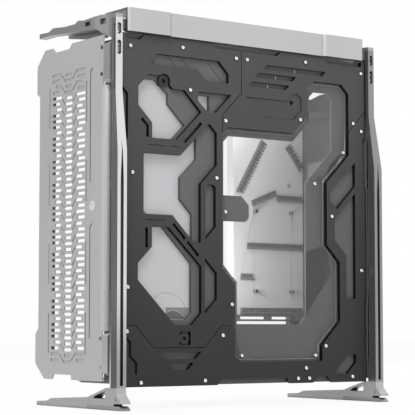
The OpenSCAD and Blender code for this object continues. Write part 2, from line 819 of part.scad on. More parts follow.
module board_tray() {
    color("lightgray") difference() {
        union() {
            translate([tray_x, tray_y, tray_z]) cube([post_x - tray_x, tray_t, deck_z - tray_z]);
            translate([tray_x, tray_y, tray_z]) cube([tray_t, 16, deck_z - tray_z]);
        }
        for (x = [board_x, board_x - board_dx], z = [board_z, board_z + board_dz])
            rod_y(x, tray_y - 1, z, 1.6, tray_t + 2);
        rod_y(tray_screw_place[0], tray_y - 1, tray_screw_place[1], screw_r + 0.1, tray_t + 2);
    }
}

// Rail under the tray: two bars joined by blocks
module tray_rail() {
    rail_z = tray_z - 10;
    color("gray") difference() {
        translate([tray_x, tray_y - 2, rail_z]) cube([post_x - tray_x, 6, tray_z - rail_z]);
        for (i = [0:1])
            translate([tray_x + 12 + i * 62, tray_y - 3, rail_z + 3]) cube([50, 8, 4]);
    }
}

module board_standoffs() {
    color("gold") for (x = [board_x, board_x - board_dx], z = [board_z, board_z + board_dz])
        difference() {
            translate([x, tray_y, z]) rotate([90, 0, 0]) cylinder(r = 3, h = 6.5, $fn = 6);
            rod_y(x, tray_y - 7, z, 1.5, 8);
        }
}

// Comb strips for cables: start, end
combs = [[[147, 403], [99, 322]], [[197, 398], [224, 364]], [[127, 305], [172, 323]],
    [[176, 315], [226, 315]], [[117, 238], [226, 238]], [[104, 190], [127, 190]],
    [[104, 137], [226, 137]]];
tooth_pitch = 4;

module comb(a, b) {
    d = (b - a) / norm(b - a);
    n = [-d[1], d[0]];
    count = floor(norm(b - a) / tooth_pitch);
    band(a - n * 3, b - n * 3, 3);
    for (i = [0:count]) band(a + d * i * tooth_pitch - n * 2, a + d * i * tooth_pitch + n * 4, 1.8);
}

module cable_combs() {
    color("dimgray") facing(tray_y - 2.5, 2.5) for (c = combs) comb(c[0], c[1]);
}

module tray_screw() {
    color("white") screw(tray_screw_place[0], tray_y, tray_screw_place[1], tray_t + 2);
}

// Power supply bracket on the floor and two drive plates behind the tray

module psu_bracket() {
    psu_w = 150;
    psu_h = 86;
    wall = 2;
    x = -40;
    y = inside_y + 10;
    rim = 3;
    color("dimgray") difference() {
        union() {
            translate([x, y - rim, floor_z + deck_t]) cube([wall, psu_w + 2 * rim, psu_h + 12]);
            translate([x, y - rim, floor_z + deck_t]) cube([24, psu_w + 2 * rim, wall]);
        }
        translate([x - 1, y + 8, floor_z + deck_t + 14]) cube([wall + 2, psu_w - 16, psu_h - 16]);
        for (s = [0, 138], u = [0, 64])
            rod_x(x - 1, y + 6 + s, floor_z + deck_t + 16 + u, 1.9, wall + 2);
    }
}

module drive_plates() {
    color("gray") for (z = [180, 300]) translate([tray_x + 30, tray_y + tray_t, z]) difference() {
        cube([76, 3, 100]);
        for (x = [7, 69], u = [12, 88])
            translate([x, -1, u]) rotate([-90, 0, 0]) cylinder(r = 1.7, h = 5);
        translate([20, -1, 25]) cube([36, 5, 50]);
    }
}

module drive_screws() {
    color("white") for (z = [180, 300], x = [7, 69], u = [12, 88]) {
        rod_y(tray_x + 30 + x, tray_y + tray_t, z + u, 1.5, 3 + eps);
        rod_y(tray_x + 30 + x, tray_y + tray_t + 3, z + u, screw_head_r, screw_head_h);
    }
}

// Top bar with its end caps and brackets

bar_x = -bar_l / 2 + 3;
bar_y = upper_y + cap_proud;
bar_wall = 3;

// Box section, open behind
module bar_section(y0, z0, d, h) {
    translate([0, y0 + d / 2, z0 + h / 2]) difference() {
        cube([2000, d, h], center = true);
        translate([0, bar_wall, 0]) cube([2001, d, h - 2 * bar_wall], center = true);
    }
}

module top_bar() {
    color("silver") intersection() {
        bar_section(bar_y, bar_z, bar_d, bar_h);
        translate([bar_x + cap_l, bar_y - 10, bar_z - 10])
            cube([bar_l - 2 * cap_l - 10, bar_d + 20, bar_h + 20]);
    }
}

// Outline of an end cap: its inner end meets the bar, its outer end turns back in a facet
module cap_outline(outer, inner, facet) {
    side = inner > outer ? 1 : -1;
    polygon([
        [inner, bar_y + bar_d], [inner, bar_y], [inner - side * cap_proud, bar_y - cap_proud],
        [outer + side * facet, bar_y - cap_proud], [outer, bar_y - cap_proud + facet * 0.74],
        [outer, bar_y + bar_d]]);
}

module bar_cap(outer, inner, notch) {
    color("silver") difference() {
        translate([0, 0, bar_z]) linear_extrude(bar_h) cap_outline(outer, inner, 3);
        translate([min(outer, inner) - 30, bar_y + bar_wall, bar_z + bar_wall])
            cube([cap_l + 60, bar_d, bar_h - 2 * bar_wall]);
        // Notch behind the front face that clears the arm and leaves a lip above it
        if (notch > 0) translate([outer - 1, bar_y + 8, bar_z - 1])
            cube([notch + 1, bar_d, bar_h - 8]);
    }
}

module bar_cap_left() { bar_cap(bar_x - 6, bar_x + cap_l, 11.5); }
module bar_cap_right() { bar_cap(bar_x + bar_l, bar_x + bar_l - cap_l - 10, 0); }

// Brackets that carry the bar between the columns
module bar_bracket(side) {
    color("dimgray") both(side)
        translate([inner_x - 40, bar_y + bar_wall, bar_z + bar_wall])
            cube([40, 10, column_top_z - bar_z - bar_wall]);
}

module bar_bracket_left() { bar_bracket(-1); }
module bar_bracket_right() { bar_bracket(1); }

column_left();
column_right();
foot_blade_left();
foot_blade_right();
foot_sole_left();
foot_sole_right();
top_arm_left();
top_arm_right();
edge_strip_left();
edge_strip_right();
near_post_left();
near_post_right();
far_post_left();
far_post_right();
cover_left_plate();
cover_upper_plate();
cover_lower_plate();
cover_screws();
backing_plate();
window_sheet();
window_screws();
reservoir_plate();
port_plugs();
pump_cap();
vent_panel();
panel_brackets_left();
panel_brackets_right();
bracket_screws();
power_button();
button_carrier();
button_switch();
rear_panel();
slot_covers();
slot_screws();
board_tray();
tray_rail();
board_standoffs();
cable_combs();
tray_screw();
roof_plate();
floor_plate();
far_rail_upper();
far_rail_lower();
top_bar();
bar_cap_left();
bar_cap_right();
bar_bracket_left();
bar_bracket_right();
psu_bracket();
drive_plates();
drive_screws();
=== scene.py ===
"""Finishes, fixings, light and camera for the open-frame computer case."""

import json
import logging
import math
from dataclasses import dataclass, field
from enum import Enum
from typing import Sequence

import bmesh
import bpy
from mathutils import Matrix, Vector


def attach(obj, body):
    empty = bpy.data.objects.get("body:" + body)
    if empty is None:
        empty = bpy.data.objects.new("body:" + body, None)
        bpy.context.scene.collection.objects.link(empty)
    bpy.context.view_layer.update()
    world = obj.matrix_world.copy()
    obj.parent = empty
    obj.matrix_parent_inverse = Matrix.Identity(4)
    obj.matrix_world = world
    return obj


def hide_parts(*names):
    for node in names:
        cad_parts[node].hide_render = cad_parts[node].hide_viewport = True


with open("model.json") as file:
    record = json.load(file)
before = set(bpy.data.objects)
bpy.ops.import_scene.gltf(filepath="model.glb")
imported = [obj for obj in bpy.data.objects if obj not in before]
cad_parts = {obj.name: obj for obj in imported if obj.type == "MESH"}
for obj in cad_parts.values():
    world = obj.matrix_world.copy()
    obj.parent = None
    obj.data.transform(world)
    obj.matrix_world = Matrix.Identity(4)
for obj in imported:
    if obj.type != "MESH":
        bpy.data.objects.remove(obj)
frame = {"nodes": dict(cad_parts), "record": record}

log = logging.getLogger("case")
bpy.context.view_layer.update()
MM = 0.001
COVER_LEFT = -222.0
COVER_FOOT = 30.0


class Body(Enum):
    """The group that the added pieces ride on."""

    CASE = "chassis"


class WallAxis(Enum):
    """The way a sheet faces, so that its cut walls and side faces can be told apart and given
    painted shade.
    """

    NONE = (0.0, 0.0, 0.0)
    FRONT = (0.0, 1.0, 0.0)


class Brushing(Enum):
    """How far the fine grain of a metal is drawn out, along X, Y and Z."""

    BLASTED = (1.0, 1.0, 1.0)
    UPRIGHT = (1.0, 1.0, 0.06)


# Shader groups


@dataclass(frozen=True)
class Plug:
    """One named socket of a shader group."""

    label: str
    kind: str = "NodeSocketFloat"
    value: object = None


def new_group(name: str, takes: Sequence[Plug], gives: Sequence[Plug],
              kind: str = "ShaderNodeTree") -> bpy.types.NodeTree:
    """Makes a node group with named sockets.

    Args:
        name: The group's name.
        takes: Its inputs.
        gives: Its outputs.
        kind: Whether it holds shader or geometry nodes.

    Returns:
        The group's tree, with its input and output nodes in it.
    """
    tree = bpy.data.node_groups.new(name, kind)
    for plug in takes:
        made = tree.interface.new_socket(name=plug.label, in_out="INPUT", socket_type=plug.kind)
        if plug.value is not None:
            made.default_value = plug.value
    for plug in gives:
        tree.interface.new_socket(name=plug.label, in_out="OUTPUT", socket_type=plug.kind)
    tree.nodes.new("NodeGroupInput").name = "in"
    tree.nodes.new("NodeGroupOutput").name = "out"
    return tree


class Wiring:
    """Short calls for placing and joining nodes in one tree."""

    def __init__(self, tree: bpy.types.NodeTree) -> None:
        """Keeps the tree that the nodes go into."""
        self.tree = tree

    def node(self, kind: str, **settings: object) -> bpy.types.Node:
        """Adds a node and sets its options."""
        made = self.tree.nodes.new(kind)
        for key, value in settings.items():
            setattr(made, key, value)
        return made

    def join(self, source: bpy.types.NodeSocket, target: bpy.types.NodeSocket) -> None:
        """Joins two sockets."""
        self.tree.links.new(source, target)

    def math(self, operation: str, first: object, second: object = 0.0, clamp: bool = False):
        """Adds a Math node and returns its output.

        Args:
            operation: Blender's name of the operation.
            first: A socket or a number.
            second: A socket or a number.
            clamp: Whether the result is held between 0 and 1.

        Returns:
            The output socket.
        """
        made = self.node("ShaderNodeMath", operation=operation, use_clamp=clamp)
        for place, value in enumerate((first, second)):
            if isinstance(value, (int, float)):
                made.inputs[place].default_value = value
            else:
                self.join(value, made.inputs[place])
        return made.outputs[0]

    def blend(self, factor: object, first: object, second: object) -> bpy.types.NodeSocket:
        """Adds a colour Mix node and returns its output.

        Args:
            factor: A socket or a number.
            first: The colour at 0, a socket or three numbers.
            second: The colour at 1, a socket or three numbers.

        Returns:
            The colour output socket.
        """
        made = self.node("ShaderNodeMix", data_type="RGBA")
        for place, value in ((0, factor), (6, first), (7, second)):
            if isinstance(value, (int, float)):
                made.inputs[place].default_value = value
            elif isinstance(value, tuple):
                made.inputs[place].default_value = (*value, 1.0)
            else:
                self.join(value, made.inputs[place])
        return made.outputs[2]

    def ramp(self, source: bpy.types.NodeSocket, low: float, high: float,
             to_low: float = 0.0, to_high: float = 1.0) -> bpy.types.NodeSocket:
        """Adds a smooth Map Range and returns its output.

        Args:
            source: The value that is mapped.
            low: Where the range starts.
            high: Where the range ends.
            to_low: The result at the start.
            to_high: The result at the end.

        Returns:
            The output socket.
        """
        made = self.node("ShaderNodeMapRange", interpolation_type="SMOOTHSTEP")
        self.join(source, made.inputs["Value"])
        made.inputs["From Min"].default_value = low
        made.inputs["From Max"].default_value = high
        made.inputs["To Min"].default_value = to_low
        made.inputs["To Max"].default_value = to_high
        return made.outputs["Result"]


class SurfaceEffects:
    """The shader groups that the finishes share."""

    def __init__(self) -> None:
        """Builds each group once."""
        self.grain = self._grain()
        self.wear = self._wear()
        self.walls = self._walls()
        self.film = self._film()
        self.painted_crevice_shade = self._painted_crevice_shade()

    def _grain(self) -> bpy.types.NodeTree:
        """Makes a fine grain with slow clouding: a shade, a roughness change and a height."""
        tree = new_group(
            "fine_grain",
            [Plug("Scale", value=900.0), Plug("Stretch", "NodeSocketVector", (1.0, 1.0, 1.0)),
             Plug("Contrast", value=0.06), Plug("Clouding", value=0.05)],
            [Plug("Shade"), Plug("Roughness"), Plug("Height")])
        w = Wiring(tree)
        takes, gives = tree.nodes["in"].outputs, tree.nodes["out"].inputs
        place = w.node("ShaderNodeTexCoord").outputs["Object"]
        drawn = w.node("ShaderNodeVectorMath", operation="MULTIPLY")
        w.join(place, drawn.inputs[0])
        w.join(takes["Stretch"], drawn.inputs[1])
        fine = w.node("ShaderNodeTexNoise")
        fine.inputs["Detail"].default_value = 4.0
        fine.inputs["Roughness"].default_value = 0.65
        w.join(drawn.outputs[0], fine.inputs["Vector"])
        w.join(takes["Scale"], fine.inputs["Scale"])
        slow = w.node("ShaderNodeTexNoise")
        slow.inputs["Scale"].default_value = 9.0
        slow.inputs["Detail"].default_value = 3.0
        w.join(place, slow.inputs["Vector"])
        centred = w.math("SUBTRACT", fine.outputs["Fac"], 0.5)
        cloud = w.math("SUBTRACT", slow.outputs["Fac"], 0.5)
        speck = w.math("MULTIPLY", centred, takes["Contrast"])
        drift = w.math("MULTIPLY", cloud, takes["Clouding"])
        change = w.math("ADD", speck, drift)
        w.join(w.math("ADD", 1.0, w.math("MULTIPLY", change, 2.0)), gives["Shade"])
        w.join(change, gives["Roughness"])
        w.join(fine.outputs["Fac"], gives["Height"])
        return tree

    def _wear(self) -> bpy.types.NodeTree:
        """Makes a mask that is 1 along outer edges, broken up by a noise."""
        tree = new_group("edge_wear", [Plug("Amount", value=0.5), Plug("Radius", value=0.0006)],
                         [Plug("Mask")])
        w = Wiring(tree)
        takes, gives = tree.nodes["in"].outputs, tree.nodes["out"].inputs
        rounded = w.node("ShaderNodeBevel", samples=3)
        w.join(takes["Radius"], rounded.inputs["Radius"])
        plain = w.node("ShaderNodeNewGeometry")
        likeness = w.node("ShaderNodeVectorMath", operation="DOT_PRODUCT")
        w.join(rounded.outputs[0], likeness.inputs[0])
        w.join(plain.outputs["Normal"], likeness.inputs[1])
        edge = w.ramp(w.math("SUBTRACT", 1.0, likeness.outputs["Value"]), 0.01, 0.16)
        rubbed = w.node("ShaderNodeTexNoise")
        rubbed.inputs["Scale"].default_value = 120.0
        w.join(w.node("ShaderNodeTexCoord").outputs["Object"], rubbed.inputs["Vector"])
        broken = w.ramp(rubbed.outputs["Fac"], 0.3, 0.55, 0.35, 1.0)
        w.join(w.math("MULTIPLY", w.math("MULTIPLY", edge, broken), takes["Amount"], True),
               gives["Mask"])
        return tree

    def _walls(self) -> bpy.types.NodeTree:
        """Makes a mask that is 1 on the cut walls of a sheet that faces along Axis."""
        tree = new_group("cut_walls", [Plug("Axis", "NodeSocketVector", (0.0, 1.0, 0.0))],
                         [Plug("Mask")])
        w = Wiring(tree)
        takes, gives = tree.nodes["in"].outputs, tree.nodes["out"].inputs
        along = w.node("ShaderNodeVectorMath", operation="DOT_PRODUCT")
        w.join(w.node("ShaderNodeTexCoord").outputs["Normal"], along.inputs[0])
        w.join(takes["Axis"], along.inputs[1])
        flat = w.math("ABSOLUTE", along.outputs["Value"])
        w.join(w.ramp(flat, 0.35, 0.75, 1.0, 0.0), gives["Mask"])
        return tree

    def _painted_crevice_shade(self) -> bpy.types.NodeTree:
        """Makes the painted shade mask: 1 deep in gaps, slots and inner corners within Reach,
        found by ambient occlusion.
        """
        tree = new_group("painted_crevice_shade", [Plug("Reach", value=0.006), Plug("Amount", value=0.7)],
                         [Plug("Mask")])
        w = Wiring(tree)
        takes, gives = tree.nodes["in"].outputs, tree.nodes["out"].inputs
        open_to = w.node("ShaderNodeAmbientOcclusion", samples=6)
        w.join(takes["Reach"], open_to.inputs["Distance"])
        closed = w.ramp(w.math("SUBTRACT", 1.0, open_to.outputs["AO"]), 0.12, 0.72)
        w.join(w.math("MULTIPLY", closed, takes["Amount"], True), gives["Mask"])
        return tree

    def _film(self) -> bpy.types.NodeTree:
        """Makes a thin film of settled dust on faces that look up."""
        tree = new_group("settled_dust", [Plug("Amount", value=0.2)], [Plug("Mask")])
        w = Wiring(tree)
        takes, gives = tree.nodes["in"].outputs, tree.nodes["out"].inputs
        coords = w.node("ShaderNodeTexCoord")
        up = w.node("ShaderNodeSeparateXYZ")
        w.join(coords.outputs["Normal"], up.inputs[0])
        specks = w.node("ShaderNodeTexNoise")
        specks.inputs["Scale"].default_value = 260.0
        specks.inputs["Detail"].default_value = 6.0
        w.join(coords.outputs["Object"], specks.inputs["Vector"])
        facing = w.ramp(up.outputs["Z"], 0.5, 0.95)
        loose = w.ramp(specks.outputs["Fac"], 0.42, 0.7)
        w.join(w.math("MULTIPLY", w.math("MULTIPLY", facing, loose), takes["Amount"], True),
               gives["Mask"])
        return tree


# Finishes


@dataclass(frozen=True)
class Coating:
    """A painted, anodised, moulded or plated finish with grain and worn edges; where set, painted
    shade darkens its cut walls, side faces and crevices, and painted light makes it lighter
    towards the top.
    """

    name: str
    colour: tuple[float, float, float]
    roughness: float
    metallic: float = 0.0
    gloss: float = 0.5
    grain: float = 1100.0
    brushing: Brushing = Brushing.BLASTED
    contrast: float = 0.06
    clouding: float = 0.06
    depth: float = 0.00002
    worn: tuple[float, float, float] = (0.5, 0.5, 0.5)
    wear: float = 0.3
    wear_radius: float = 0.0006
    # Painted shade: faces turned away from this axis, such as cut walls and side faces, are
    # darkened by the factor below.
    wall_axis: WallAxis = WallAxis.NONE
    painted_wall_shade: float = 0.3
    # Painted light: the colour is scaled from the first value at the bottom of the span to the
    # second at its top, lighter towards the top as light falls from above.
    painted_light_rise: tuple[float, float] = (1.0, 1.0)
    painted_light_span: tuple[float, float] = (0.0, 0.55)
    dust: float = 0.06
    # Painted shade in gaps, slots and inner corners: how dark it gets and how far it reaches.
    painted_shade_amount: float = 0.75
    painted_shade_reach: float = 0.006

    def material(self, effects: SurfaceEffects) -> bpy.types.Material:
        """Builds the finish.

        Args:
            effects: The shared shader groups.

        Returns:
            The material.
        """
        made = bpy.data.materials.new(self.name)
        made.use_nodes = True
        made.diffuse_color = (*self.colour, 1.0)
        w = Wiring(made.node_tree)
        shader = made.node_tree.nodes["Principled BSDF"]
        shader.inputs["Specular IOR Level"].default_value = self.gloss
        grain = w.node("ShaderNodeGroup", node_tree=effects.grain)
        grain.inputs["Scale"].default_value = self.grain
        grain.inputs["Stretch"].default_value = self.brushing.value
        grain.inputs["Contrast"].default_value = self.contrast
        grain.inputs["Clouding"].default_value = self.clouding
        shade = grain.outputs["Shade"]
        # Painted light: lighter towards the top and darker towards the bottom, as light falls from
        # above.
        if self.painted_light_rise != (1.0, 1.0):
            height = w.node("ShaderNodeSeparateXYZ")
            w.join(w.node("ShaderNodeTexCoord").outputs["Object"], height.inputs[0])
            painted_light_lift = w.ramp(height.outputs["Z"], *self.painted_light_span, *self.painted_light_rise)
            shade = w.math("MULTIPLY", shade, painted_light_lift)
        # Painted shade: cut walls and side faces turned away from the axis are darkened.
        if self.wall_axis is not WallAxis.NONE:
            walls = w.node("ShaderNodeGroup", node_tree=effects.walls)
            walls.inputs["Axis"].default_value = self.wall_axis.value
            darker = w.math("MULTIPLY", walls.outputs["Mask"], self.painted_wall_shade - 1.0)
            shade = w.math("MULTIPLY", shade, w.math("ADD", 1.0, darker))
        # Painted shade: gaps, slots and inner corners darken, found by ambient occlusion.
        if self.painted_shade_amount:
            closed = w.node("ShaderNodeGroup", node_tree=effects.painted_crevice_shade)
            closed.inputs["Reach"].default_value = self.painted_shade_reach
            closed.inputs["Amount"].default_value = self.painted_shade_amount
            shade = w.math("MULTIPLY", shade, w.math("SUBTRACT", 1.0, closed.outputs["Mask"]))
        tinted = w.node("ShaderNodeVectorMath", operation="SCALE")
        tinted.inputs[0].default_value = self.colour
        w.join(shade, tinted.inputs["Scale"])
        wear = w.node("ShaderNodeGroup", node_tree=effects.wear)
        wear.inputs["Amount"].default_value = self.wear
        wear.inputs["Radius"].default_value = self.wear_radius
        worn = w.blend(wear.outputs["Mask"], tinted.outputs[0], self.worn)
        film = w.node("ShaderNodeGroup", node_tree=effects.film)
        film.inputs["Amount"].default_value = self.dust
        dusty = w.blend(film.outputs["Mask"], worn, (0.55, 0.54, 0.52))
        w.join(dusty, shader.inputs["Base Color"])
        if self.metallic:
            plain = w.math("SUBTRACT", self.metallic, film.outputs["Mask"], True)
            w.join(plain, shader.inputs["Metallic"])
        change = w.math("ADD", self.roughness, w.math("MULTIPLY", grain.outputs["Roughness"], 0.8))
        w.join(change, shader.inputs["Roughness"])
        bump = w.node("ShaderNodeBump")
        bump.inputs["Strength"].default_value = 0.35
        bump.inputs["Distance"].default_value = self.depth
        w.join(grain.outputs["Height"], bump.inputs["Height"])
        w.join(bump.outputs["Normal"], shader.inputs["Normal"])
        return made


@dataclass(frozen=True)
class ClearSheet:
    """A clear, faintly tinted sheet that lets light into the case."""

    name: str
    colour: tuple[float, float, float]
    opacity: float = 0.16
    roughness: float = 0.03

    def material(self, effects: SurfaceEffects) -> bpy.types.Material:
        """Builds the sheet's finish.

        Args:
            effects: The shared shader groups.

        Returns:
            The material.
        """
        made = bpy.data.materials.new(self.name)
        made.use_nodes = True
        made.diffuse_color = (*self.colour, self.opacity)
        w = Wiring(made.node_tree)
        shader = made.node_tree.nodes["Principled BSDF"]
        shader.inputs["Specular IOR Level"].default_value = 0.4
        grain = w.node("ShaderNodeGroup", node_tree=effects.grain)
        grain.inputs["Scale"].default_value = 500.0
        grain.inputs["Contrast"].default_value = 0.02
        walls = w.node("ShaderNodeGroup", node_tree=effects.walls)
        tint = w.blend(walls.outputs["Mask"], self.colour, (0.75, 0.76, 0.78))
        w.join(tint, shader.inputs["Base Color"])
        solid = w.math("MULTIPLY", walls.outputs["Mask"], 0.7)
        thin = w.math("MULTIPLY", grain.outputs["Shade"], self.opacity)
        alpha = w.math("ADD", thin, solid, True)
        w.join(alpha, shader.inputs["Alpha"])
        rough = w.math("ADD", self.roughness, grain.outputs["Roughness"], True)
        w.join(rough, shader.inputs["Roughness"])
        return made


@dataclass(frozen=True)
class FrostedSheet:
    """A pale frosted plate with a painted glow: a weak emission stands in for the light that comes
    through it from behind.
    """

    name: str
    colour: tuple[float, float, float]
    glow: float = 0.1

    def material(self, effects: SurfaceEffects) -> bpy.types.Material:
        """Builds the plate's finish.

        Args:
            effects: The shared shader groups.

        Returns:
            The material.
        """
        made = bpy.data.materials.new(self.name)
        made.use_nodes = True
        made.diffuse_color = (*self.colour, 1.0)
        w = Wiring(made.node_tree)
        shader = made.node_tree.nodes["Principled BSDF"]
        shader.inputs["Specular IOR Level"].default_value = 0.3
        shader.inputs["Coat Roughness"].default_value = 0.25
        grain = w.node("ShaderNodeGroup", node_tree=effects.grain)
        grain.inputs["Scale"].default_value = 700.0
        grain.inputs["Contrast"].default_value = 0.03
        grain.inputs["Clouding"].default_value = 0.08
        tinted = w.node("ShaderNodeVectorMath", operation="SCALE")
        tinted.inputs[0].default_value = self.colour
        w.join(grain.outputs["Shade"], tinted.inputs["Scale"])
        w.join(tinted.outputs[0], shader.inputs["Base Color"])
        w.join(tinted.outputs[0], shader.inputs["Emission Color"])
        # Painted glow: the plate emits its own colour though it is no lamp.
        shader.inputs["Emission Strength"].default_value = self.glow
        w.join(w.math("ADD", 0.45, grain.outputs["Roughness"]), shader.inputs["Roughness"])
        return made


FINISHES: dict[str, Coating | ClearSheet | FrostedSheet] = {
    "frame_metal": Coating("blasted_alloy", (0.62, 0.62, 0.63), 0.38, 0.85, contrast=0.04,
                           worn=(0.85, 0.85, 0.86), wear=0.5),
    # Darker copies of the blasted alloy for the feet, arms and bar, and a lit and a shaded copy
    # for the near and far column: painted light and shade for how light falls on each part.
    "shaded_foot_metal": Coating("shaded_foot_alloy", (0.5, 0.5, 0.51), 0.4, 0.85, contrast=0.04,
                          worn=(0.8, 0.8, 0.81), wear=0.5),
    "shaded_arm_metal": Coating("shaded_arm_alloy", (0.46, 0.46, 0.47), 0.38, 0.85, contrast=0.04,
                         worn=(0.8, 0.8, 0.81), wear=0.5),
    "shaded_bar_metal": Coating("shaded_bar_alloy", (0.57, 0.565, 0.57), 0.38, 0.85, contrast=0.04,
                         worn=(0.85, 0.85, 0.86), wear=0.5, wall_axis=WallAxis.FRONT,
                         painted_wall_shade=0.5),
    "lit_column_metal": Coating("lit_column_alloy", (0.68, 0.68, 0.69), 0.38, 0.85,
                                 contrast=0.04, worn=(0.85, 0.85, 0.86), wear=0.5,
                                 wall_axis=WallAxis.FRONT, painted_wall_shade=0.4,
                                 painted_light_rise=(0.55, 1.1), painted_light_span=(0.05, 0.18)),
    "shaded_column_metal": Coating("shaded_column_alloy", (0.31, 0.31, 0.32), 0.36, 0.85, contrast=0.04,
                            worn=(0.85, 0.85, 0.86), wear=0.5),
    "sole_metal": Coating("sole_alloy", (0.4, 0.4, 0.41), 0.45, 0.8, worn=(0.7, 0.7, 0.7)),
    "bright_trim": Coating("polished_alloy", (0.72, 0.72, 0.73), 0.2, 1.0,
                           brushing=Brushing.UPRIGHT, contrast=0.08, worn=(0.9, 0.9, 0.9)),
    "body_metal": Coating("body_coat", (0.17, 0.17, 0.175), 0.45, 0.2, worn=(0.35, 0.35, 0.35)),
    "cover_dark": Coating("dark_cover_coat", (0.062, 0.061, 0.063), 0.5, gloss=0.25,
                          worn=(0.16, 0.16, 0.165), wear=0.35, wall_axis=WallAxis.FRONT,
                          painted_wall_shade=0.12, painted_light_rise=(0.5, 1.3), dust=0.02, painted_shade_amount=0.9,
                          painted_shade_reach=0.006),
    "backing_grey": Coating("grey_backing_coat", (0.13, 0.127, 0.132), 0.5, gloss=0.25,
                            worn=(0.2, 0.2, 0.2), wear=0.3, wall_axis=WallAxis.FRONT,
                            painted_wall_shade=0.9, painted_light_rise=(0.9, 1.15), dust=0.02, painted_shade_amount=0.0,
                            depth=0.000008),
    "tray_metal": Coating("tray_coat", (0.7, 0.695, 0.71), 0.5, gloss=0.3, contrast=0.02,
                          worn=(0.8, 0.8, 0.8), wear=0.2, painted_shade_amount=0.5, painted_shade_reach=0.004),
    "clear_sheet": ClearSheet("window_sheet_clear", (0.42, 0.42, 0.43), 0.08),
    "frosted": FrostedSheet("frosted_plate", (0.53, 0.52, 0.54)),
    "black_plastic": Coating("moulded_black", (0.022, 0.022, 0.023), 0.42, gloss=0.4,
                             worn=(0.08, 0.08, 0.08), contrast=0.1),
    "button_cap": Coating("pale_button_cap", (0.72, 0.71, 0.72), 0.3, contrast=0.02, painted_shade_amount=0.4,
                          worn=(0.8, 0.8, 0.8), painted_shade_reach=0.0015),
    "shield_grey": Coating("shield_coat", (0.2, 0.2, 0.205), 0.5, painted_shade_amount=0.3),
    "pump_grey": Coating("pump_housing_grey", (0.25, 0.245, 0.25), 0.5, painted_shade_amount=0.0, wear=0.1),
    "pump_dark": Coating("pump_disc_grey", (0.13, 0.128, 0.13), 0.5, painted_shade_amount=0.0, wear=0.1),
    "screw_metal": Coating("plated_screw", (0.8, 0.8, 0.8), 0.18, 1.0, contrast=0.02,
                           worn=(0.95, 0.95, 0.95), wear_radius=0.0003, painted_shade_amount=0.95,
                           painted_shade_reach=0.0018),
    "panel_metal": Coating("panel_coat", (0.52, 0.51, 0.525), 0.42, 0.15, painted_shade_amount=0.85,
                           painted_shade_reach=0.0035,
                           worn=(0.62, 0.62, 0.62), wear=0.4),
    "rear_metal": Coating("rear_coat", (0.11, 0.11, 0.115), 0.45, 0.2, worn=(0.3, 0.3, 0.3)),
    "brass": Coating("turned_brass", (0.62, 0.44, 0.18), 0.25, 1.0, grain=2000.0, contrast=0.08,
                     worn=(0.8, 0.65, 0.35), wear_radius=0.0003),
    "comb_rubber": Coating("comb_rubber_grey", (0.2, 0.2, 0.2), 0.7, gloss=0.2,
                           contrast=0.12, worn=(0.2, 0.2, 0.2), wear=0.2),
}


class FinishShop:
    """Builds each finish once and hands it out by its slot."""

    def __init__(self) -> None:
        """Makes the shared effects and an empty shelf."""
        self.effects = SurfaceEffects()
        self.shelf: dict[str, bpy.types.Material] = {}

    def take(self, slot: str) -> bpy.types.Material:
        """Returns the finish of a slot, building it the first time."""
        if slot not in self.shelf:
            self.shelf[slot] = FINISHES[slot].material(self.effects)
        return self.shelf[slot]


# Geometry Nodes


def new_tree(name: str, takes: Sequence[Plug]) -> bpy.types.NodeTree:
    """Makes a geometry tree that takes and gives a geometry.

    Args:
        name: The tree's name.
        takes: Its inputs, after the geometry itself.

    Returns:
        The tree, with its input and output nodes in it.
    """
    shape = Plug("Geometry", "NodeSocketGeometry")
    return new_group(name, [shape, *takes], [shape], "GeometryNodeTree")


def close_tree(w: Wiring, tree: bpy.types.NodeTree, source: bpy.types.NodeSocket) -> None:
    """Makes a tree's result real, gives it its Finish and sends it out.

    Args:
        w: The tree's wiring.
        tree: The geometry tree.
        source: The shape that it gives.
    """
    real = w.node("GeometryNodeRealizeInstances")
    w.join(source, real.inputs[0])
    coat = w.node("GeometryNodeSetMaterial")
    w.join(real.outputs[0], coat.inputs["Geometry"])
    w.join(tree.nodes["in"].outputs["Finish"], coat.inputs["Material"])
    w.join(coat.outputs[0], tree.nodes["out"].inputs["Geometry"])


def add(name: str, data: bpy.types.ID | None) -> bpy.types.Object:
    """Makes an object and links it into the scene."""
    made = bpy.data.objects.new(name, data)
    bpy.context.scene.collection.objects.link(made)
    return made


def bake(name: str, mesh: bpy.types.Mesh, tree: bpy.types.NodeTree,
         values: dict[str, object]) -> bpy.types.Object:
    """Runs a geometry tree on a mesh and keeps the result as a plain object.

    Args:
        name: The new piece's name.
        mesh: What the tree starts from.
        tree: The geometry tree.
        values: The tree's inputs by label.

    Returns:
        The piece, with no modifier on it.
    """
    holder = add(name + ".path", mesh)
    modifier = holder.modifiers.new("nodes", "NODES")
    modifier.node_group = tree
    for item in tree.interface.items_tree:
        if item.item_type == "SOCKET" and item.in_out == "INPUT" and item.name in values:
            modifier[item.identifier] = values[item.name]
    view = bpy.context.evaluated_depsgraph_get()
    result = bpy.data.meshes.new_from_object(holder.evaluated_get(view), depsgraph=view)
    result.name = name
    bpy.data.objects.remove(holder)
    return add(name, result)


